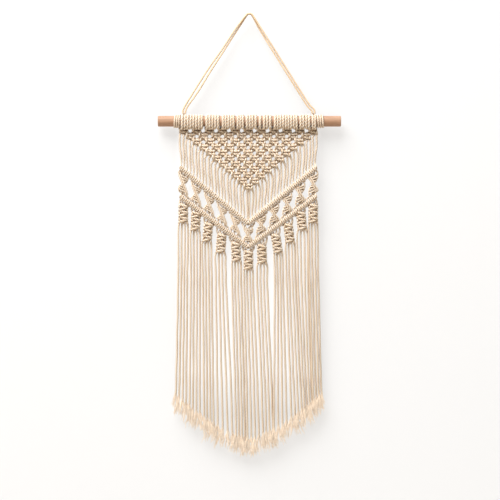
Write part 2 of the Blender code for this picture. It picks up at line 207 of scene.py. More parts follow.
def cotton(name, cream=CREAM, groove_shade=PLY_GROOVE_SHADE, crevice_shade_strength=1.5, glow=0.0):
    """Soft matt cotton, a little sheen from loose fibres, painted shade in its grooves and
    crevices.
    """
    material, graph, shader = new_material(name)
    ply = graph.node("ShaderNodeAttribute", out=1, attribute_name="ply")
    along = graph.node("ShaderNodeAttribute", out=2, attribute_name="along")
    tone = graph.node("ShaderNodeAttribute", out=2, attribute_name="tone")
    reach = graph.node("ShaderNodeVectorMath", {0: ply}, out=1, operation="LENGTH")
    crown = graph.ramp(reach, 1 - GROOVE * GROOVE_FLOOR, 1 - GROOVE * GROOVE_RIM)
    around = graph.vector("SCALE", ply, FIBRES_AROUND)
    lift = graph.node("ShaderNodeCombineXYZ", {2: along * FIBRES_ALONG})
    fibres = graph.noise(graph.vector("ADD", around, lift), FIBRE_SCALE, detail=4.0)
    patches = graph.noise(graph.node("ShaderNodeTexCoord", out=3), PATCH_SCALE)
    # Painted shade: the grooves between the plies take the groove shade, the crowns stay cream.
    crowned = graph.mix(crown, groove_shade, cream)
    warmth = (patches - 0.5) * PATCH_WARMTH + tone * STRAND_WARMTH
    coloured = graph.mix(warmth, crowned, WARM, "MULTIPLY")
    openness = graph.node(
        "ShaderNodeAmbientOcclusion", {"Distance": CREVICE}, out=1, samples=CREVICE_SAMPLES
    )
    # Painted shade: the more a surface is shut in, the more it is painted towards the crevice
    # shade.
    press = (1 - openness - OPEN_ENOUGH) * crevice_shade_strength
    coloured = graph.mix(press, coloured, CREVICE_SHADE, "MULTIPLY")
    shade = FIBRE_DARKEST + fibres * FIBRE_CONTRAST
    bump = {"Height": fibres, "Strength": 0.5, "Distance": FIBRE_DEPTH}
    looks = {
        "Base Color": graph.mix(1.0, coloured, shade, "MULTIPLY"),
        "Roughness": 0.8 + fibres * 0.2,
        "Normal": graph.node("ShaderNodeBump", bump),
        "Emission Color": cream,
        "Emission Strength": glow,
        "Sheen Weight": 0.25,
        "Sheen Roughness": 0.5,
        "Specular IOR Level": 0.2,
    }
    graph.wire(shader, looks)
    return material


COTTON = cotton("cotton_cord")
# Painted glow brightens the thin yarns of an opened end, in place of light passing through them.
LOOSE_COTTON = cotton("loose_cotton", (0.98, 0.93, 0.83), crevice_shade_strength=0.5, glow=0.31)
# The second colour of each cord below is the painted shade in its ply grooves.
HANGER_COTTON = cotton("hanger_cotton", (0.87, 0.75, 0.565), (0.66, 0.46, 0.28))
HITCH_COTTON = cotton("hitch_cotton", (0.95, 0.90, 0.82), (0.56, 0.40, 0.26))
print("materials:", *(m.name for m in (COTTON, LOOSE_COTTON, HANGER_COTTON, HITCH_COTTON)))

# %% [markdown]
# ## Rope from a line
#
# A strand is three plies laid round each other. The plies could be swept one by one, at three
# times the work. Instead Geometry Nodes sweeps one lobed outline along a line and turns it
# steadily, so each lobe becomes a ply. The tree takes edges whose points carry a size and a
# tone, and it works for many strands at once.

# %% The rope tree
ROPE_INPUTS = (
    ("Lines", "Geometry", None),
    ("Step", "Float", 0.001),
    ("Lay", "Float", 0.0126),
    ("Plies", "Int", 3),
    ("Sides", "Int", 9),
    ("Groove", "Float", GROOVE),
    ("Material", "Material", None),
)


def new_tree(name, inputs):
    """An empty Geometry Nodes tree with the given inputs, and its sockets by name."""
    tree = bpy.data.node_groups.new(name, "GeometryNodeTree")
    for label, kind, value in inputs:
        item = tree.interface.new_socket(label, in_out="INPUT", socket_type="NodeSocket" + kind)
        if value is not None:
            item.default_value = value
    tree.interface.new_socket("Geometry", in_out="OUTPUT", socket_type="NodeSocketGeometry")
    graph = Graph(tree)
    source = tree.nodes.new("NodeGroupInput")
    return tree, graph, {out.name: Socket(graph, out) for out in source.outputs if out.name}


def store(graph, geometry, name, value, kind="FLOAT"):
    sockets = {"Geometry": geometry, "Name": name, "Value": value}
    return graph.node("GeometryNodeStoreNamedAttribute", sockets, data_type=kind, domain="POINT")


def recall(graph, name, kind="FLOAT"):
    return graph.node("GeometryNodeInputNamedAttribute", {0: name}, data_type=kind)


def end_tree(graph, line, outline, size, material):
    """Sweep the outline along the line and close the tree as the export needs it."""
    sockets = {"Curve": line, "Profile Curve": outline, "Scale": size, "Fill Caps": True}
    swept = graph.node("GeometryNodeCurveToMesh", sockets)
    real = graph.node("GeometryNodeRealizeInstances", {0: swept})
    soft = graph.node("GeometryNodeSetShadeSmooth", {0: real})
    coated = graph.node("GeometryNodeSetMaterial", {0: soft, "Material": material})
    graph.wire(graph.tree.nodes.new("NodeGroupOutput"), {0: coated})


def rope_tree():
    tree, graph, given = new_tree("twisted rope", ROPE_INPUTS)
    lines = graph.node("GeometryNodeMeshToCurve", {0: given["Lines"]})
    lengths = {0: lines, "Length": given["Step"]}
    even = graph.node("GeometryNodeResampleCurve", lengths, mode="LENGTH")
    along = graph.node("GeometryNodeSplineParameter", out=1)
    tilt = along / given["Lay"] * math.tau
    turned = graph.node("GeometryNodeSetCurveTilt", {0: even, "Tilt": tilt})
    marked = store(graph, turned, "along", along)
    ring = graph.node("GeometryNodeCurvePrimitiveCircle", {"Resolution": given["Sides"]})
    place = graph.node("GeometryNodeInputPosition")
    turn = graph.node("GeometryNodeSplineParameter") * given["Plies"] * math.tau
    wave = graph.node("ShaderNodeMath", {0: turn}, operation="COSINE")
    outline = graph.vector("SCALE", place, 1 - given["Groove"] * (0.5 + wave * 0.5))
    lobed = graph.node("GeometryNodeSetPosition", {0: ring, "Position": outline})
    lobed = store(graph, lobed, "ply", place, "FLOAT_VECTOR")
    end_tree(graph, marked, lobed, recall(graph, "size"), given["Material"])
    return tree


ROPE = rope_tree()
print("rope tree:", len(ROPE.nodes), "nodes")

# %% [markdown]
# ## From a list of places to a smooth line
#
# A strand's route is a list of beads, each with a place and the strand's radius there, all in
# millimetres. Straight pieces between the beads would show corners, and a Bezier curve would
# need handles at each of them. A centripetal Catmull-Rom curve passes through every bead and
# never loops, even where a tight knot is followed by a long straight fringe.

# %% Beads and smooth lines
LINE_STEP = 0.8
TONES = (-0.5, 0.5)
NEAREST_BEADS = 0.05  # beads closer than this count as this far apart


def bead(x, y, z, size):
    return Vector((x, y, z, size))


def lerp(a, b, t):
    return a + (b - a) * t


def smooth_line(route):
    """Points on a centripetal Catmull-Rom curve through the beads, about a step apart."""
    beads = [route[0] * 2 - route[1], *route, route[-1] * 2 - route[-2]]
    line = []
    for a, b, c, d in zip(beads, beads[1:], beads[2:], beads[3:]):
        times = [0.0]
        for p, q in ((a, b), (b, c), (c, d)):
            times.append(times[-1] + math.sqrt(max((q - p).to_3d().length, NEAREST_BEADS)))
        t0, t1, t2, t3 = times
        count = max(2, math.ceil((c - b).to_3d().length / LINE_STEP))
        for k in range(count):
            t = lerp(t1, t2, k / count)
            ab = lerp(a, b, (t - t0) / (t1 - t0))
            bc = lerp(b, c, (t - t1) / (t2 - t1))
            cd = lerp(c, d, (t - t2) / (t3 - t2))
            abc = lerp(ab, bc, (t - t0) / (t2 - t0))
            bcd = lerp(bc, cd, (t - t1) / (t3 - t1))
            line.append(lerp(abc, bcd, (t - t1) / (t2 - t1)))
    line.append(route[-1])
    return line


def line_object(name, lines, tones, scale=MM):
    """Edges along the lines, whose points carry the strand's size and tone."""
    points, edges, sizes, tints = [], [], [], []
    for line, tone in zip(lines, tones):
        start = len(points)
        points.extend(p.to_3d() * scale for p in line)
        sizes.extend(p.w * scale for p in line)
        tints.extend([tone] * len(line))
        edges.extend((k, k + 1) for k in range(start, len(points) - 1))
    mesh = bpy.data.meshes.new(name)
    mesh.from_pydata(points, edges, [])
    for label, values in (("size", sizes), ("tone", tints)):
        mesh.attributes.new(label, "FLOAT", "POINT").data.foreach_set("value", values)
    return add_object(name, mesh)


def run_tree(thing, tree, settings):
    """Evaluate a Geometry Nodes tree on an object and keep the result as its plain mesh."""
    modifier = thing.modifiers.new(tree.name, "NODES")
    modifier.node_group = tree
    for item in tree.interface.items_tree:
        if item.in_out == "INPUT" and item.name in settings:
            modifier[item.identifier] = settings[item.name]
    thing.update_tag()
    graph = bpy.context.evaluated_depsgraph_get()
    mesh = bpy.data.meshes.new_from_object(
        thing.evaluated_get(graph), preserve_all_data_layers=True, depsgraph=graph
    )
    thing.modifiers.clear()
    mesh.name = thing.name
    thing.data = mesh
    return sum(len(p.vertices) - 2 for p in mesh.polygons)


def finish_piece(thing, nodes, slot):
    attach(thing, "root")
    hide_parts(*nodes)


def lay_ropes(name, routes, node, slot="cotton_cord", material=COTTON, seed=1, **settings):
    """One piece of many strands, which stands for a solid of the frame."""
    chance = random.Random(seed)
    lines = [smooth_line(route) for route in routes]
    thing = line_object(name, lines, [chance.uniform(*TONES) for _ in lines])
    count = run_tree(thing, ROPE, {"Material": material, **settings})
    finish_piece(thing, (node,), slot)
    print(f"{name}: {len(routes)} strands, {count} triangles")


# %% [markdown]
# ## The hanging cord
#
# A doubled cord runs from one end of the dowel over the nail to the other. A simulation could
# find its shape, but the hanging's weight pulls it taut, so it is nearly straight and only
# rounds over the nail, and a short list of places is enough. These are the solid model's own
# places. On the way one strand lies above the other, and over the nail they lie side by side.

# %% The hanging cord's route
CORD_RADIUS = 1.4 * MM
Place = namedtuple("Place", "x z part")
CORD_PLACES = (
    (-91.6, -138.4, 1.8), (-90.9, -133.5, 1.8), (-87.4, -126.3, 1.8), (-73.4, -105.3, 2.5),
    (-55.9, -77.3, 2.2), (-37.0, -49.3, 1.6), (-18.8, -21.3, 1.7), (-10.5, -9.4, 1.7),
    (-3.4, 0.2, 1.6), (0.0, 1.4, 1.6), (3.4, 0.2, 1.6), (9.4, -9.6, 1.7),
    (16.2, -21.3, 1.7), (33.7, -49.3, 1.6), (51.2, -77.3, 1.6), (68.7, -105.3, 1.6),
    (82.3, -126.3, 1.7), (88.9, -133.5, 1.85), (89.6, -138.4, 1.85),
)
CORD_ROUTE = [Place(*values) for values in CORD_PLACES]
CORD_CROSSING = 32 * MM  # over this distance from the nail the strands turn from beside to above
SMOOTH_STEPS = 12


def cord_line(side):
    """Points of one strand of the hanging cord; side is 1 for the upper and -1 for the lower."""
    middle = [Vector((p.x * MM, 0, p.z * MM)) for p in CORD_ROUTE]
    route = []
    for k, p in enumerate(middle):
        before, after = middle[max(k - 1, 0)], middle[min(k + 1, len(middle) - 1)]
        along = (after - before).normalized()
        above = Vector((-along.z, 0, along.x))
        if k in (0, len(middle) - 1):
            above = Vector((-1 if k == 0 else 1, 0, 0))
        turn = max(0, 1 - abs(p.x) / CORD_CROSSING) * math.pi / 2
        away = above * math.cos(turn) + Vector((0, -1, 0)) * math.sin(turn)
        route.append(p + away * (side * CORD_ROUTE[k].part * MM))
    line = []
    padded = [route[0], *route, route[-1]]
    for a, b, c, d in zip(padded, padded[1:], padded[2:], padded[3:]):
        for k in range(SMOOTH_STEPS):
            t = k / SMOOTH_STEPS
            line.append(
                0.5 * (2 * b + (c - a) * t + (2 * a - 5 * b + 4 * c - d) * t**2
                       + (3 * b - a - 3 * c + d) * t**3)
            )
    line.append(route[-1])
    return line


# %% The hanging cord's two strands
HANGER_STEP = 0.0008  # metres between the rings of a rope's mesh
HANGER_ROPE = {"Lay": 0.0075, "Sides": 12}  # this cord is laid tighter than the strands


def hang_cord(name, side, node):
    line = cord_line(side)
    thing = line_object(name, [[Vector((*p, CORD_RADIUS)) for p in line]], [0.0], scale=1)
    count = run_tree(thing, ROPE, {"Material": HANGER_COTTON, "Step": HANGER_STEP, **HANGER_ROPE})
    finish_piece(thing, (node,), "hanger_cord")


hang_cord("hanging_cord_upper_strand", 1, "hanging_cord_a")
hang_cord("hanging_cord_lower_strand", -1, "hanging_cord_b")

# %% [markdown]
# ## Sizes of the hanging
#
# 22 cords folded over the dowel give 44 strands, which are knotted in fours. The sizes could be
# typed in where each knot is laid, but then every change would have to be made in many places.
# So the numbers that drive the whole panel stand together here. They are in millimetres, and
# the line builder turns them into metres. The panel's middle is a little to the left of the
# nail.

# %% The panel's driving sizes
PANEL_X = -1.7
STRANDS = 44
SPACING = 4.43
DOWEL_Z = -149.1
Run = namedtuple("Run", "left right wraps")
HEADING_RUNS = (
    (-94.1, -62.9, 8), (-59.6, -40.2, 5), (-36.7, -18.8, 5), (-16.1, -5.9, 3),
    (-3.6, 12.0, 4), (14.7, 18.2, 1), (20.4, 32.5, 3), (35.7, 69.3, 9),
    (71.3, 86.7, 4), (88.5, 94.9, 2),
)
HEADING = [Run(*values) for values in HEADING_RUNS]
ROWS = 11
ROW_ONE_Z = -162.3
ROW_PITCH = 7.87
ROWS_BACK = (4.6, 3.6, 2.0, 0.8)  # the first rows hang under the dowel, behind the heading
KNOT_PITCH_TOP = 18.1
KNOT_PITCH_TIP = 16.8
FREE_SIZE = 1.68
FRINGE_SIZE = 1.75
KNOT_SIZE = 1.72
VBar = namedtuple("VBar", "end_x end_z apex_z")
UPPER_BAR = VBar(96.0, -213.7, -293.0)
LOWER_BAR = VBar(96.5, -253.7, -325.8)
SINNETS = 11
SINNET_SPACING = 18.2


def row_pitch(row):
    return lerp(KNOT_PITCH_TOP, KNOT_PITCH_TIP, row / (ROWS - 1))


def row_z(row):
    return ROW_ONE_Z - ROW_PITCH * row


def bar_z(bar, x):
    return lerp(bar.apex_z, bar.end_z, abs(x) / bar.end_x)


def strand_x(index):
    """Place of a strand across the panel where it is hitched on a bar."""
    return SPACING * (index - (STRANDS - 1) / 2)


print(f"{STRANDS} strands, {ROWS} rows of knots, {SINNETS} sinnets")

# %% [markdown]
# ## The heading
#
# Each cord is folded in half and hung on the dowel with a reversed lark's head, whose fold lies
# behind, so that the front shows two upright wraps. Rings round the dowel would look much the
# same from the front, but the strands below would start from nowhere. So a strand's route
# starts at the fold, climbs the back, comes over the top and leaves underneath for its first
# knot.

# %% Routes round the dowel
WRAP_REACH = 7.85
WRAP_ANGLES = range(170, 19, -30)
WRAP_FULLER = 0.32  # the wraps press together, fuller than half their pitch
WRAP_FULLEST = 2.2
WRAP_SLANT = 0.35
# The fold behind the dowel: share of the way from its middle to a wrap, angle and reach.
FOLD = ((0.00, 206, 10.0), (0.75, 206, 10.0), (1.00, 192, 9.2))
# The front of a wrap and its way back under the dowel: share of the way to its knot, y and z.
WRAP_FRONT = (
    (0.00, -7.9, -1.2), (0.00, -7.8, -5.0), (0.03, -7.0, -8.3), (0.12, -4.4, -9.9),
    (0.40, -1.0, -9.9), (0.80, 2.6, -9.4),
)

WRAPS = []  # place across the panel and pitch of each wrap
for run in HEADING:
    pitch = (run.right - run.left) / run.wraps
    WRAPS.extend((run.left + pitch * (k + 0.5), pitch) for k in range(run.wraps))


def on_dowel(x, angle, reach, size):
    """A bead round the dowel; 0 degrees is its front and 90 its top."""
    turn = math.radians(angle)
    return bead(x, -reach * math.cos(turn), DOWEL_Z + reach * math.sin(turn), size)


def heading_route(index, leave_x, chance):
    x, pitch = WRAPS[index]
    partner = WRAPS[index ^ 1][0]
    size = min(pitch / 2 + WRAP_FULLER, WRAP_FULLEST)
    fold_x = (x + partner) / 2
    slant = chance.uniform(-WRAP_SLANT, WRAP_SLANT)
    route = [on_dowel(lerp(fold_x, x, part), *place, size) for part, *place in FOLD]
    for angle in WRAP_ANGLES:
        sway = slant * math.cos(math.radians(angle))
        route.append(on_dowel(x + sway, angle, WRAP_REACH, size))
    for part, y, z in WRAP_FRONT:
        route.append(bead(lerp(x, leave_x, part), y, DOWEL_Z + z, size))
    return route


print(f"{len(WRAPS)} wraps on the dowel")

# %% [markdown]
# ## Half knots
#
# Every knot here is made of half knots: one cord crosses in front of two filler cords, and its
# partner crosses behind them and comes up through the loop. To simulate how a knot is pulled
# tight is slow and hard to steer, so the crossings are laid by table, for tight and for loose
# knots, as shares of a knot's half width, depth and height. A half knot with its mirror image
# below it makes a square knot.

# %% The half knot
Size = namedtuple("Size", "half_width depth height size fill front back")
TIGHT_FRONT = (
    (-1.06, 0.15, 0.25), (-0.86, -0.60, 0.03), (-0.48, -0.98, 0.05), (0.00, -1.08, 0.11),
    (0.48, -0.98, 0.17), (0.86, -0.60, 0.04), (1.06, 0.00, -0.40),
)
TIGHT_BACK = (
    (1.10, 0.10, 0.60), (1.06, -1.15, 0.42), (1.06, -0.40, 0.05), (0.80, 0.60, -0.12),
    (0.00, 1.00, 0.00), (-0.80, 0.75, 0.15), (-1.08, -0.10, 0.38), (-1.08, -1.30, 0.30),
    (-1.03, -1.60, -0.05),
)
LOOSE_FRONT = (
    (-0.95, 0.35, 0.52), (-0.80, -0.70, 0.38), (-0.40, -1.05, 0.20), (0.10, -1.14, 0.02),
    (0.62, -1.14, -0.12), (1.02, -0.80, -0.24), (1.14, -0.05, -0.42),
)
LOOSE_BACK = (
    (1.02, 0.30, 0.50), (0.95, 0.75, 0.25), (0.50, 1.05, 0.08), (-0.40, 1.00, 0.05),
    (-0.95, 0.60, 0.02), (-1.08, -0.25, -0.12), (-1.02, -0.75, -0.42),
)
FRONT_EXIT = (-1.08, 0.15, -0.80)
BACK_EXIT = (1.10, -0.35, -0.98)
# The fillers: how far from the middle at each of four levels, how far in front, how full.
FILLER_APART = (0.30, 0.42, 0.42, 0.30)
FILLER_LEVEL = 0.4
FILLER_FRONT = -1.1
FILLER_PART = 0.95


def half_knot(crossing, hand, knot, to_world, lift=0.0):
    """Beads of one working cord in a half knot; hand -1 mirrors it."""
    wide, deep, high = hand * knot.half_width, knot.depth, knot.height
    places = [to_world(x * wide, y * deep, z * high + lift) for x, y, z in crossing]
    return [bead(*place, knot.size) for place in places]


def square_knot(position, knot, to_world):
    """Beads of one of the four strands in a square knot; 0 and 3 work, 1 and 2 fill."""
    if position in (1, 2):
        side = -knot.half_width if position == 1 else knot.half_width
        levels = (knot.fill, FILLER_LEVEL, -FILLER_LEVEL, -knot.fill)
        places = [
            to_world(side * apart, FILLER_FRONT, z * knot.height)
            for apart, z in zip(FILLER_APART, levels)
        ]
        return [bead(*place, knot.size * FILLER_PART) for place in places]
    crossing, leave = (knot.front, FRONT_EXIT) if position == 0 else (knot.back, BACK_EXIT)
    upper = half_knot(crossing, 1, knot, to_world, knot.height / 2)
    lower = half_knot(crossing, -1, knot, to_world, -knot.height / 2)
    return upper + lower[1:-1] + half_knot((leave,), 1, knot, to_world)


print("beads of a half knot:", len(TIGHT_FRONT), "in front,", len(TIGHT_BACK), "behind")

# %% [markdown]
# ## The triangle
#
# Rows of square knots alternate: each row takes two strands from one knot above and two from
# the next, so the fillers of one row work in the next. Every row has one knot fewer, and the
# strands left over at its ends hang free. One knot could be copied all over the triangle, but
# then no strand would lead from knot to knot. So each strand is followed from row to row, and
# every knot gets a small tilt and lift of its own, because hands are never quite even.

# %% Routes through the triangle
TRIANGLE_KNOT = Size(4.65, 3.1, 3.85, 2.0, 1.18, TIGHT_FRONT, TIGHT_BACK)
WIDER_BELOW = 0.04  # the half width grows by this much from row to row
KNOT_TILT = (-0.16, -0.04)  # a knot's crossings fall to the right by a share in this range
KNOT_LIFT = 0.25


def knot_place(row, index):
    """Middle of the knot that holds a strand in a row, and the strand's position in it."""
    knot, position = divmod(index - 2 * row, 4)
    return (knot - (ROWS - row - 1) / 2) * row_pitch(row), position


def uneven(chance):
    """Tilt and lift of one knot."""
    return chance.uniform(*KNOT_TILT), chance.uniform(-KNOT_LIFT, KNOT_LIFT)


KNOT_CHANCE = random.Random(11)
UNEVEN = [[uneven(KNOT_CHANCE) for _ in range(ROWS)] for _ in range(ROWS)]


def triangle_route(index):
    """Beads of one strand from row to row until it leaves the triangle."""
    last = min(index, STRANDS - 1 - index) // 2
    route = []
    for row in range(last + 1):
        middle, position = knot_place(row, index)
        tilt, lift = UNEVEN[row][(index - 2 * row) // 4]
        back = ROWS_BACK[row] if row < len(ROWS_BACK) else 0.0
        knot = TRIANGLE_KNOT._replace(half_width=TRIANGLE_KNOT.half_width + WIDER_BELOW * row)

        def to_world(x, y, z):
            return middle + x + tilt * z, y + back, row_z(row) + z + tilt * x + lift

        route.extend(square_knot(position, knot, to_world))
    return route


print(ROWS * (ROWS + 1) // 2, "square knots in", ROWS, "rows")

# %% [markdown]
# ## Bars of double half hitches
#
# Two cords run slantwise as a V, and every strand is tied round one of them with two half
# hitches. A strand comes in over the bar, crosses its front, goes up behind it, crosses the
# front again beside the first turn and leaves below. So the front shows two lumps a strand. One
# thick twisted rope would give similar lumps, but the strands would stop above it, so each of
# them is wound round the bar.

# %% Routes round a bar
LUMP_PITCH = 2.875
BAR_HALF_HEIGHT = 2.8
BAR_HALF_DEPTH = 3.0
HITCH_SIZE = 1.34
# Places of a hitch: along the bar in lump pitches, up and to the front in half sizes of the bar,
# and how full the strand is.
HITCH = (
    (-1.06, 1.90, -0.15, 1.05),
    (-0.90, 1.22, 0.35, 1.08),
    (-0.79, 0.62, 0.92, 1.08),
    (-0.75, -0.10, 1.14, 1.08),
    (-0.75, -0.78, 0.82, 1.03),
    (-0.72, -1.12, 0.05, 0.95),
    (-0.62, -0.72, -0.80, 0.85),
    (-0.48, 0.00, -1.05, 0.85),
    (-0.32, 0.72, -0.80, 0.85),
    (-0.05, 1.08, 0.05, 0.95),
    (0.17, 0.76, 0.84, 1.08),
    (0.25, 0.02, 1.15, 1.08),
    (0.25, -0.74, 0.84, 1.03),
    (0.28, -1.12, 0.20, 0.95),
    (0.30, -1.55, -0.35, 1.00),
)
BAR_END_X = 93.0  # beyond this the hitches crowd together
BAR_END_CROWD = 0.45
CORE_SIZE = 1.6
# Places of a core cord: share of the arm's length, millimetres more, and y.
CORE = ((1.0, -3.5, 1.0), (1.0, -6.0, 0.2), (0.5, 0.0, 0.0), (0.0, 2.0, 0.0))
CORE_PAST_APEX = (1.5, 0.3, 2.0)  # its last place: x, y and how far along the arm's line
HITCH_CUT = 7  # at this place behind the lower bar the panel's strands end, the fringe's begin


def bar_slope(bar):
    return math.atan2(bar.end_z - bar.apex_z, bar.end_x)


def hitch_route(bar, index):
    """Beads of one strand round a bar; the arms of the V mirror each other."""
    side = -1 if index < STRANDS / 2 else 1
    x = strand_x(index)
    slope = bar_slope(bar)
    route = []
    for along, up, front, part in HITCH:
        s, u = along * LUMP_PITCH, up * BAR_HALF_HEIGHT
        shift = s * math.cos(slope) + u * math.sin(slope)
        rise = u * math.cos(slope) - s * math.sin(slope)
        reach = side * x - shift
        if reach > BAR_END_X:
            reach = lerp(BAR_END_X, reach, BAR_END_CROWD)
        place = Vector((side * reach, -front * BAR_HALF_DEPTH, bar_z(bar, x) + rise))
        route.append(bead(*place, HITCH_SIZE * part))
    return route


def core_route(bar, side):
    """The cord that the strands are hitched on, from the end of an arm past the apex."""
    places = [(bar.end_x * share + more, y) for share, more, y in CORE]
    route = [bead(side * x, y, bar_z(bar, x), CORE_SIZE) for x, y in places]
    x, y, past = CORE_PAST_APEX
    route.append(bead(-side * x, y, bar.apex_z - past * math.sin(bar_slope(bar)), CORE_SIZE))
    return route


print("a hitch takes", len(HITCH), "beads")

# %% [markdown]
# ## Free strands
#
# Between the triangle and the bar the strands hang free. As straight lines they would look like
# wires. Real cotton keeps a memory of the ball it came from, so each strand bows a little,
# leans in before it bends out to its hitch, and wanders by a random amount whose seed is fixed.

# %% Routes of the free strands
FREE_BEAD_GAP = 15.0
BOW = 1.2
FULL_BOW_X = 15.0
DRIFT = 1.7  # a strand leans in by up to this much before it bends out to its hitch
LONG_STRAND = 45.0
PAIR_APART = 0.45  # the two strands of one knot leave it this much further apart
SPREAD_DROP = 4.0  # below a knot the strands stand at their own places after this much
WANDER_ASIDE = 0.22
WANDER_FORWARD = 0.4


def free_route(start, end, chance, bow=0.0, drift=0.0):
    """Beads between two others: a slack strand bows, and drifts aside towards its lower end."""
    count = max(1, round((start - end).to_3d().length / FREE_BEAD_GAP))
    route = []
    for k in range(1, count + 1):
        t = k / (count + 1)
        place = lerp(start, end, t)
        place.x += bow * math.sin(math.pi * t) + drift * t * t
        place.x += chance.uniform(-WANDER_ASIDE, WANDER_ASIDE)
        place.y += chance.uniform(-WANDER_FORWARD, WANDER_FORWARD)
        place.w = FREE_SIZE
        route.append(place)
    return route


def spread(leaving, x, y=0.0):
    """The bead where a strand that leaves a knot has reached its own place."""
    return bead(x, y, leaving.z - SPREAD_DROP, FREE_SIZE)


def outwards(index):
    """1 for strands on the right, -1 on the left, and less near the middle."""
    x = strand_x(index)
    return math.copysign(min(abs(x) / FULL_BOW_X, 1.0), x)


def free_bow(index, start, end):
    """How far a strand over the upper bar bows outwards; the middle and short ones less."""
    return outwards(index) * min((start.z - end.z) / LONG_STRAND, 1.0) * BOW


print("free strands bow up to", BOW, "mm and drift up to", DRIFT, "mm")

# %% [markdown]
# ## Spirals between the bars
#
# In fours again, the strands are tied in half knots of one hand only, which gives the sinnet
# half a turn between the bars. So it shows two lobes with a narrow waist. The half knot's
# tables could be repeated and turned, but a sinnet this short and tight is pulled out of that
# shape, so its strands have tables of their own. The two fillers run across the front, from the
# upper left to the lower right. Each working cord is the outside of one lobe and crosses the
# front of the other three times, and the lower lobe is the upper one turned upside down.

# %% Routes through a spiral
TOP_SEAT = 5.0  # from the upper bar's middle line down to the first bead
FOOT_SEAT = 7.4  # from the last bead down to the lower bar's middle line
END_SLANT = 0.95  # how much of the lower bar's slope a spiral takes at its ends
WAIST_SLANT = 0.40
SPIRAL_SIZE = 1.42
TURN_SIZE = 1.18  # of the winding cord, whose turns stay apart
FILLER_SIDE = 4.7
FILLER_HALF_GAP = 1.2
FILLER_PLACES = 9
FILLERS_LEAVE = 0.12  # down to this share of the length they stay at the upper left
FILLERS_TAKE = 0.76  # and over this share they cross
FILLER_BULGE = 1.3
# The outer strand of the upper lobe, down to behind the waist: share of the length, x and y.
OUTER_STRAND = (
    (0.00, 5.4, -0.4), (0.12, 6.1, -0.7), (0.26, 5.7, -0.6), (0.37, 4.0, 0.2),
    (0.46, 1.6, 1.5), (0.54, -1.4, 1.7),
)
TURN_LEVELS = (0.625, 0.75, 0.875)  # where the same cord crosses the front of the lower lobe
# One such turn: share of the length past its level, share of the way from the lobe's left edge
# to the fillers, then x and y.
TURN = (
    (-0.025, 0.0, 0.6, 0.2),
    (-0.015, 0.0, 1.2, -1.7),
    (0.000, 0.5, 0.0, -2.5),
    (0.010, 1.0, -0.9, -1.9),
    (0.025, 1.0, 0.3, 0.2),
    (0.070, 0.5, 0.0, 1.6),
)
LOBE_EDGE = -6.1
LOBE_FULL = 0.74  # higher up than this share of the length, it narrows towards the waist
LOBE_NARROWS = 14.0
TURN_GAP = 1.0
CORD_END = (1.0, -1.2, 0.2)


def filler_x(t):
    crossed = (t - FILLERS_LEAVE) / FILLERS_TAKE
    return lerp(-FILLER_SIDE, FILLER_SIDE, min(max(crossed, 0.0), 1.0))


def working_cord():
    """Places of the cord that is outside in the upper lobe and winds in the lower one."""
    places = [(t, x, y, SPIRAL_SIZE) for t, x, y in OUTER_STRAND]
    for level in TURN_LEVELS:
        left = LOBE_EDGE + LOBE_NARROWS * max(0.0, LOBE_FULL - level)
        right = filler_x(level) - TURN_GAP
        places.extend(
            (level + down, lerp(left, right, share) + x, y, TURN_SIZE) for down, share, x, y in TURN
        )
    return places + [(*CORD_END, SPIRAL_SIZE)]


def spiral_places(position):
    """Share of the length, x, y and size along one of the four strands."""
    if position == 3:
        return working_cord()
    if position == 2:
        return [(1 - t, -x, y, size) for t, x, y, size in reversed(working_cord())]
    side = -FILLER_HALF_GAP if position == 0 else FILLER_HALF_GAP
    places = []
    for k in range(FILLER_PLACES):
        t = k / (FILLER_PLACES - 1)
        front = -FILLER_BULGE * (1 + math.sin(math.pi * t))
        places.append((t, filler_x(t) + side, front, SPIRAL_SIZE))
    return places


def sinnet_x(sinnet):
    return SINNET_SPACING * (sinnet - (SINNETS - 1) / 2)


def spiral_route(sinnet, position):
    """Beads of one strand through a spiral sinnet."""
    middle = sinnet_x(sinnet)
    top, foot = bar_z(UPPER_BAR, middle) - TOP_SEAT, bar_z(LOWER_BAR, middle) + FOOT_SEAT
    lean = 0 if sinnet == SINNETS // 2 else math.copysign(math.tan(bar_slope(LOWER_BAR)), middle)
    route = []
    for t, x, y, size in spiral_places(position):
        slant = lean * lerp(END_SLANT, WAIST_SLANT, math.sin(math.pi * t))
        route.append(bead(middle + x, y, lerp(top, foot, t) + x * slant, size))
    return route


# Positions of each spiral's four strands, in the order in which they come out below.
BELOW = [sorted(range(4), key=lambda p: spiral_route(k, p)[-1].x) for k in range(SINNETS)]
print("order below the spirals:", BELOW[0], "...", BELOW[-1])

# %% [markdown]
# ## Putting the panel's strands together
#
# The sections join into one long route for each strand, from its fold on the dowel to the back
# of the lower bar. Each section could be a mesh of its own, but then the twist would jump at
# every joint. All the strands in one mesh would be heavy, so there are two pieces, left and
# right.

# %% The panel's strands
PANEL_STEP = 0.0008
half = STRANDS // 2


def shifted(route):
    """A route that was laid out about the panel's middle line, moved to the panel's place."""
    return [Vector((b.x + PANEL_X, b.y, b.z, b.w)) for b in route]


def panel_route(index):
    chance = random.Random(100 + index)
    sinnet, position = divmod(index, 4)
    knots = triangle_route(index)
    hitched = hitch_route(UPPER_BAR, index)
    spiral = spiral_route(sinnet, position)
    below = 4 * sinnet + BELOW[sinnet].index(position)
    entry = hitch_route(LOWER_BAR, below)[: HITCH_CUT + 1]
    x = strand_x(index)
    outer = 1 if (index % 2 == 0) == (index < half) else -1
    apart = spread(knots[-1], x + math.copysign(PAIR_APART, x) * outer)
    heading = heading_route(index, knots[0].x, chance)
    bow, drift = free_bow(index, apart, hitched[0]), -outwards(index) * DRIFT
    free = free_route(apart, hitched[0], chance, bow, drift)
    return shifted(heading + knots + [apart] + free + hitched + spiral + entry)


for side, first in (("left", 0), ("right", half)):
    routes = [panel_route(index) for index in range(first, first + half)]
    lay_ropes(f"panel_strands_{side}", routes, "macrame_panel", seed=3 + first, Step=PANEL_STEP)

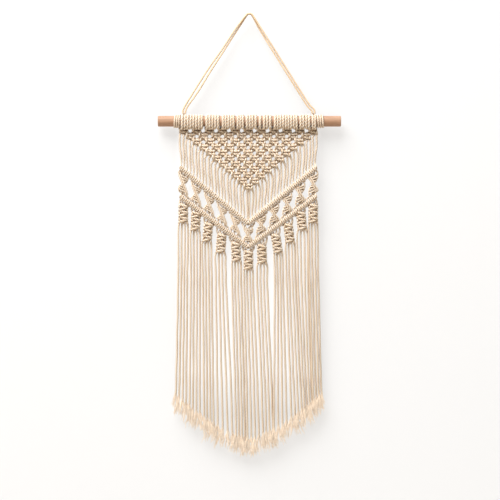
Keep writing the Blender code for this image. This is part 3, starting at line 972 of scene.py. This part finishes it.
# %% The bars' core cords
BARS = (("upper", UPPER_BAR, "macrame_panel", 7), ("lower", LOWER_BAR, "macrame_fringe", 8))
for name, bar, node, seed in BARS:
    cores = [shifted(core_route(bar, side)) for side in (-1, 1)]
    lay_ropes(f"{name}_bar_core", cores, node, seed=seed)

# %% [markdown]
# ## Square-knot sinnets and the fringe
#
# Below the lower bar the same four strands make a short column of three square knots, with a
# small open loop on each side at the top. Then they hang as the fringe down to the hem, which
# is cut to a point in the middle. A hair system could make such a fringe, but its strands
# wouldn't come out of the knots. So the same ropes go on, and a table says where each group
# hangs, because real groups drift aside.

# %% Sizes of the fringe
Lock = namedtuple("Lock", "foot_x foot_z upper_x upper_width lower_x lower_width")
FRINGE = (
    Lock(-90.9, -291.1, -91.7, 12.6, -93.7, 14.0),
    Lock(-74.2, -301.8, -74.1, 12.6, -74.8, 14.0),
    Lock(-58.1, -317.4, -57.3, 12.6, -55.6, 13.0),
    Lock(-38.9, -332.9, -38.4, 14.0, -33.9, 19.0),
    Lock(-16.4, -344.7, -16.4, 12.6, -12.2, 12.6),
    Lock(0.3, -356.4, 0.4, 12.6, 5.3, 15.0),
    Lock(19.6, -347.9, 19.3, 14.0, 25.6, 14.0),
    Lock(42.1, -333.5, 43.1, 11.5, 44.5, 16.0),
    Lock(58.7, -318.9, 59.9, 12.6, 65.9, 14.0),
    Lock(75.9, -301.3, 76.7, 14.0, 82.3, 11.5),
    Lock(90.9, -291.1, 92.1, 12.0, 96.0, 11.5),
)
FRINGE_UPPER_Z = -374.0
FRINGE_LOWER_Z = -514.0
HEM_MIDDLE_Z = -595.0
HEM_RISE = 63.0
HEM_HALF_WIDTH = 103.0
HEM_POWER = 1.5
HEM_DRIFT = 1.35  # how far past the lower level the drift of a strand goes on
SINNET_KNOT = Size(4.9, 3.1, 4.3, 2.05, 0.85, LOOSE_FRONT, LOOSE_BACK)
SINNET_KNOTS = 3
SINNET_SEAT = 4.4  # from the bar's middle line down to the first knot, at least
LOOP_BULGE = 0.6
STAGGER = 0.7  # every other strand of the fringe hangs this much in front, the others behind
FRINGE_STEP = 0.0011


def hem_z(x):
    return HEM_MIDDLE_Z + HEM_RISE * (abs(x) / HEM_HALF_WIDTH) ** HEM_POWER


# %% Routes of the fringe
def sinnet_route(sinnet, position):
    """Beads of one strand through the three square knots under the lower bar."""
    lock = FRINGE[sinnet]
    x_top = sinnet_x(sinnet)
    bar = bar_z(LOWER_BAR, x_top)
    room = (bar - SINNET_SEAT - lock.foot_z) / (2 * SINNET_KNOTS)
    knot = SINNET_KNOT._replace(height=min(room, SINNET_KNOT.height))
    top = lock.foot_z + 2 * SINNET_KNOTS * knot.height
    route = []
    for k in range(SINNET_KNOTS):
        level = top - (2 * k + 1) * knot.height

        def to_world(x, y, z):
            share = (bar - level - z) / (bar - lock.foot_z)
            return lerp(x_top, lock.foot_x, share) + x, y, level + z

        route.extend(square_knot(position, knot, to_world))
    return route


def fringe_route(index):
    chance = random.Random(500 + index)
    sinnet, position = divmod(index, 4)
    hitched = hitch_route(LOWER_BAR, index)[HITCH_CUT:]
    knots = sinnet_route(sinnet, position)
    loop = lerp(hitched[-1], knots[0], 0.5)
    loop.x += LOOP_BULGE * (-1, 0, 0, 1)[position]
    loop.w = KNOT_SIZE
    lock = FRINGE[sinnet]
    share = (position - 1.5) / 3
    upper_x = lock.upper_x + share * lock.upper_width
    lower_x = lock.lower_x + share * lock.lower_width
    hem_x = lerp(upper_x, lower_x, HEM_DRIFT)
    y = STAGGER if index % 2 else -STAGGER
    apart = spread(knots[-1], lock.foot_x + share * lock.upper_width, y)
    upper = bead(upper_x, y, FRINGE_UPPER_Z, FRINGE_SIZE)
    lower = bead(lower_x, y, FRINGE_LOWER_Z, FRINGE_SIZE)
    hem = bead(hem_x, y, hem_z(hem_x), FRINGE_SIZE)
    route = hitched + [loop] + knots + [apart]
    route += free_route(apart, upper, chance)[-2:] + [upper]
    route += free_route(upper, lower, chance)[::2] + [lower]
    route += free_route(lower, hem, chance)[::2] + [hem]
    return shifted(route)


FRINGE_ROUTES = [fringe_route(index) for index in range(STRANDS)]
for side, first in (("left", 0), ("right", half)):
    routes = FRINGE_ROUTES[first : first + half]
    lay_ropes(f"fringe_strands_{side}", routes, "macrame_fringe", seed=5 + first, Step=FRINGE_STEP)

# %% [markdown]
# ## Opened-out ends
#
# The strands aren't sealed, so their plies spring apart into a brush of thin yarns. There are
# far too many yarns to draw by hand. Geometry Nodes copies each strand's end a few times, sends
# every copy off in its own direction as a lock of yarns, and bends the yarns with noise that
# grows towards their tips. The seeds are fixed, so the brush is the same in every run.

# %% The tuft tree
TUFT_INPUTS = (
    ("Ends", "Geometry", None),
    ("Locks", "Int", 5),
    ("Yarns", "Int", 4),
    ("Length", "Float", 0.0295),
    ("Splay", "Float", 0.38),
    ("Frizz", "Float", 0.12),
    ("Thickness", "Float", 0.00062),
    ("Material", "Material", None),
)
YARN_POINTS = 9
LOCK_SPREAD = (1.0, 0.45, 0.0)  # locks lean to the sides more than to the front and back
LOCK_REACH = (0.62, 1.0)
YARN_SPREAD = (1.0, 1.0, 0.0)
YARN_REACH = (0.8, 1.05)
YARN_START = (0.0012, 0.0012, 0.003)  # the yarns start scattered over the strand's end
YARN_PACE = 0.8
WAVE_SCALE = 160.0
TIP_SWING = 0.007
TIP_TAPER = 0.7


def random_way(graph, limit, seed):
    """A random vector: x and y up to the limit to either side, and z from 0 up to it."""
    sockets = {0: (-limit[0], -limit[1], 0.0), 1: limit, "Seed": seed}
    return graph.node("FunctionNodeRandomValue", sockets, data_type="FLOAT_VECTOR")


def random_share(graph, limits, seed):
    sockets = {2: limits[0], 3: limits[1], "Seed": seed}
    return graph.node("FunctionNodeRandomValue", sockets, out=1, data_type="FLOAT")


def copies(graph, points, count):
    sockets = {0: points, "Amount": count}
    return graph.node("GeometryNodeDuplicateElements", sockets, domain="POINT")


def tuft_tree():
    tree, graph, given = new_tree("opened ends", TUFT_INPUTS)
    ends = graph.node("GeometryNodeMeshToPoints", {0: given["Ends"], "Radius": 0.001})
    locks = copies(graph, ends, given["Locks"])
    wide = graph.vector("SCALE", random_way(graph, LOCK_SPREAD, 3), given["Splay"])
    locks = store(graph, locks, "heading", wide, "FLOAT_VECTOR")
    locks = store(graph, locks, "reach", random_share(graph, LOCK_REACH, 4) * given["Length"])
    yarns = copies(graph, locks, given["Yarns"])
    small = graph.vector("SCALE", random_way(graph, YARN_SPREAD, 5), given["Frizz"])
    way = graph.vector("ADD", recall(graph, "heading", "FLOAT_VECTOR"), small)
    down = graph.vector("ADD", way, (0.0, 0.0, -1.0))
    yarns = store(graph, yarns, "heading", down, "FLOAT_VECTOR")
    start = random_way(graph, YARN_START, 6)
    yarns = graph.node("GeometryNodeSetPosition", {0: yarns, "Offset": start})
    trimmed = recall(graph, "reach") * random_share(graph, YARN_REACH, 7)
    yarns = store(graph, yarns, "reach", trimmed)
    line = graph.node("GeometryNodeCurvePrimitiveLine", {"Start": (0, 0, 0), "End": (0, 0, 1e-5)})
    line = graph.node("GeometryNodeResampleCurve", {0: line, "Count": YARN_POINTS}, mode="COUNT")
    line = store(graph, line, "share", graph.node("GeometryNodeSplineParameter"))
    placed = graph.node("GeometryNodeInstanceOnPoints", {0: yarns, "Instance": line})
    real = graph.node("GeometryNodeRealizeInstances", {0: placed})
    t, far = recall(graph, "share"), recall(graph, "reach")
    aim = recall(graph, "heading", "FLOAT_VECTOR")
    straight = graph.vector("SCALE", aim, (t**YARN_PACE) * far)
    place = graph.node("GeometryNodeInputPosition")
    wander = graph.noise(graph.vector("ADD", place, straight), WAVE_SCALE, out=1)
    centred = graph.vector("SUBTRACT", wander, (0.5, 0.5, 0.5))
    offset = graph.vector("ADD", straight, graph.vector("SCALE", centred, t * TIP_SWING))
    waved = graph.node("GeometryNodeSetPosition", {0: real, "Offset": offset})
    waved = store(graph, waved, "along", t * far)
    ring = graph.node("GeometryNodeCurvePrimitiveCircle", {"Resolution": 3})
    ring = store(graph, ring, "ply", place, "FLOAT_VECTOR")
    taper = given["Thickness"] * (1.0 - t**3 * TIP_TAPER)
    end_tree(graph, waved, ring, taper, given["Material"])
    return tree


TUFTS = tuft_tree()
print("tuft tree:", len(TUFTS.nodes), "nodes")

# %% The fringe's tufts
TUFT_LIFT = Vector((0, 0, 0.002))  # the yarns start inside the strand's end
TUFT_TONES = (-0.5, 0.2)
chance = random.Random(21)
tints = [chance.uniform(*TUFT_TONES) for _ in FRINGE_ROUTES]
tuft_mesh = bpy.data.meshes.new("fringe_tufts")
tuft_mesh.from_pydata([route[-1].to_3d() * MM + TUFT_LIFT for route in FRINGE_ROUTES], [], [])
tuft_mesh.attributes.new("tone", "FLOAT", "POINT").data.foreach_set("value", tints)
tufts = add_object("fringe_tufts", tuft_mesh)
count = run_tree(tufts, TUFTS, {"Material": LOOSE_COTTON})
finish_piece(tufts, ("macrame_fringe",), "cotton_cord")
print(f"fringe_tufts: {count} triangles")

# %% [markdown]
# ## Hitches of the hanging cord
#
# At each end of the heading the hanging cord is wound three times round the dowel. Three rings
# would do from the front, but from the side they would look cut off. So the cord comes from its
# foot behind the dowel and winds on as one rope. Its turns advance along the dowel, so they lie
# a little aslant.

# %% The two hitches
HITCH_LEFT = Run(-103.4, -94.5, 3)
HITCH_RIGHT = Run(95.3, 104.9, 3)
HITCH_STEP = 0.0007
HANGER_REACH = 8.25
HANGER_SIZE = 1.5
HANGER_FOOT = (2.5, 10.2)  # how far behind the dowel's middle and how far above it
# From the foot to the first turn: share of the way across, angle, reach and size.
HANGER_ENTRY = ((0.0, 130, 12.0, 1.4), (0.5, 175, 12.0, 1.4), (1.0, 215, 10.0, HANGER_SIZE))
HANGER_START = 250
TURN_STEP = 30


def hanger_hitch(run, cord_end, side):
    """The cord from its foot behind the dowel, and its turns round it."""
    pitch = (run.right - run.left) / run.wraps
    inner = run.right if side < 0 else run.left
    x, (y, up) = cord_end - PANEL_X, HANGER_FOOT
    route = [bead(x, y, DOWEL_Z + up, CORD_RADIUS / MM)]
    route += [on_dowel(lerp(x, inner, part), *place) for part, *place in HANGER_ENTRY]
    for angle in range(0, 360 * run.wraps + 1, TURN_STEP):
        x = inner + side * pitch * (angle / 360)
        route.append(on_dowel(x, HANGER_START - angle, HANGER_REACH, HANGER_SIZE))
    return [shifted(route)]


HITCH_ROPE = {"slot": "hanger_cord", "material": HITCH_COTTON, "Step": HITCH_STEP, **HANGER_ROPE}
left = hanger_hitch(HITCH_LEFT, CORD_ROUTE[0].x, -1)
lay_ropes("hitch_wraps_left", left, "hanger_hitch_left", **HITCH_ROPE)
right = hanger_hitch(HITCH_RIGHT, CORD_ROUTE[-1].x, 1)
lay_ropes("hitch_wraps_right", right, "hanger_hitch_right", **HITCH_ROPE)

# %% [markdown]
# ## The dowel
#
# The dowel is sanded pale beech with no varnish: pinkish tan, with fine grain that runs along
# it and a few short darker flecks. Its solid is already round, so it keeps its mesh and only
# gets a material. An image of wood would show its seam along the rod, so noise is stretched
# along the wood instead.

# %% The wood's material
WOOD_LIGHT = (0.41, 0.235, 0.145)
WOOD_DARK = (0.30, 0.165, 0.095)
FLECK = (0.30, 0.14, 0.07)
GRAIN_STRETCH = (6.0, 90.0, 90.0)
GRAIN_SCALE = 6.0
GRAIN_LIMITS = (0.3, 0.7)  # between these the noise goes from the dark wood to the light
FLECK_STRETCH = (25.0, 330.0, 330.0)
FLECK_SCALE = 2.5
FLECK_LIMITS = (0.66, 0.76)
FLECK_STRENGTH = 0.7


def beech():
    material, graph, shader = new_material("sanded_beech")
    place = graph.node("ShaderNodeTexCoord", out=3)
    stretched = graph.node("ShaderNodeMapping", {0: place, "Scale": GRAIN_STRETCH})
    grain = graph.noise(stretched, GRAIN_SCALE, detail=5.0)
    stretched = graph.node("ShaderNodeMapping", {0: place, "Scale": FLECK_STRETCH})
    flecks = graph.noise(stretched, FLECK_SCALE)
    spots = graph.ramp(flecks, *FLECK_LIMITS, high=FLECK_STRENGTH)
    wood = graph.mix(graph.ramp(grain, *GRAIN_LIMITS), WOOD_DARK, WOOD_LIGHT)
    bump = {"Height": grain, "Strength": 0.25, "Distance": 0.0002}
    looks = {
        "Base Color": graph.mix(spots, wood, FLECK),
        "Roughness": 0.5 + grain * 0.2,
        "Normal": graph.node("ShaderNodeBump", bump),
    }
    graph.wire(shader, looks)
    return material


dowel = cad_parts["dowel"]
dowel.data.materials.clear()
dowel.data.materials.append(beech())
print("dowel:", dowel.data.materials[0].name)

# %% [markdown]
# ## Wall, floor and light
#
# The hanging is shown against a white wall in soft light from the upper left, which throws a
# pale shadow to the right and below. A wall that is only lit turns grey behind so many strands,
# so this one also glows a little, and behind the panel it glows more: painted light where the
# strands shade it. It is see-through from behind, so that the hanging can be looked at from
# there as well.

# %% Stage
WALL_Y = 0.0145
WALL_HALF = 4.0
WALL_COLOUR = (0.295, 0.295, 0.30)
WALL_GLOW = 0.56  # keeps the wall white where the hanging shades it
# Painted light: behind the panel the wall glows brighter, where the strands shade it.
WALL_PAINTED_LIGHT = 0.34  # how much brighter the wall is where it shows between the strands
# The wall brightens with painted light between these distances from the panel's middle and these
# heights.
PANEL_EDGE = (0.084, 0.104)
PANEL_TOP = (-0.160, -0.152)
PANEL_FOOT = (-0.560, -0.500)
FLOOR_Z = -1.2
FLOOR_COLOUR = (0.66, 0.59, 0.50)
CORNERS = ((-1, -1), (1, -1), (1, 1), (-1, 1))


def plane(name, corners, material):
    mesh = bpy.data.meshes.new(name)
    mesh.from_pydata(corners, [], [(0, 1, 2, 3)])
    mesh.materials.append(material)
    thing = add_object(name, mesh)


def behind_panel(graph):
    """Mask of the wall's painted light: 1 behind the knots and the fringe, 0 beside them."""
    place = graph.node("ShaderNodeTexCoord", out=3)
    from_middle = graph.part(place, "x") - PANEL_X * MM
    aside = graph.node("ShaderNodeMath", {0: from_middle}, operation="ABSOLUTE")
    z = graph.part(place, "z")
    inside = graph.ramp(aside, *PANEL_EDGE, 1.0, 0.0)
    return inside * graph.ramp(z, *PANEL_TOP, 1.0, 0.0) * graph.ramp(z, *PANEL_FOOT)


def matt_paint(name, colour):
    material, graph, shader = new_material(name)
    graph.wire(shader, {"Base Color": colour, "Roughness": 0.9})
    return material, graph, shader


def wall_paint():
    """White paint that glows a little, with painted light behind the panel, and is see-through from
    behind.
    """
    material, graph, shader = matt_paint("wall_white", WALL_COLOUR)
    bright = 1 + behind_panel(graph) * WALL_PAINTED_LIGHT
    graph.wire(shader, {"Emission Color": bright, "Emission Strength": WALL_GLOW})
    behind = graph.node("ShaderNodeNewGeometry", out=6)
    clear = graph.node("ShaderNodeBsdfTransparent")
    front = Socket(graph, shader.outputs[0])
    shown = graph.node("ShaderNodeMixShader", {0: behind, 1: front, 2: clear})
    graph.wire(material.node_tree.nodes["Material Output"], {0: shown})
    return material


wall_corners = [(x * WALL_HALF, WALL_Y, FLOOR_Z + (z + 1) * WALL_HALF) for x, z in CORNERS]
plane("wall", wall_corners, wall_paint())
floor_corners = [(x * WALL_HALF, y * WALL_HALF, FLOOR_Z) for x, y in CORNERS]
floor_paint, *_ = matt_paint("floor_warm", FLOOR_COLOUR)
plane("floor", floor_corners, floor_paint)
print("wall", 2 * WALL_HALF, "m wide")

# %% Lights
KEY_PLACE = Vector((-0.75, -1.15, 1.70))
KEY_AIM = Vector((0.0, 0.0, -0.3))
KEY_WATTS = 125.0
KEY_SIDE = 2.0
SKY = 0.36  # brightness of the surroundings level with the hanging
SKY_COLOUR = (1.0, 0.97, 0.88)
SKY_FROM_LEFT = 0.10
SKY_FROM_ABOVE = 0.42

key_data = bpy.data.lights.new("key", "AREA")
key_data.shape = "SQUARE"
key_data.size = KEY_SIDE
key_data.energy = KEY_WATTS
key = add_object("key", key_data)
key.location = KEY_PLACE
key.rotation_euler = (KEY_AIM - KEY_PLACE).to_track_quat("-Z", "Y").to_euler()

world = bpy.data.worlds.new("soft_white")
world.use_nodes = True
sky = Graph(world.node_tree)
looking = sky.node("ShaderNodeTexCoord")
brightness = SKY - sky.part(looking, "x") * SKY_FROM_LEFT + sky.part(looking, "z") * SKY_FROM_ABOVE
sky.wire(world.node_tree.nodes["Background"], {"Color": SKY_COLOUR, "Strength": brightness})
bpy.context.scene.world = world
bpy.context.scene.view_settings.view_transform = "Standard"
print("key light", KEY_WATTS, "W, sky", SKY)
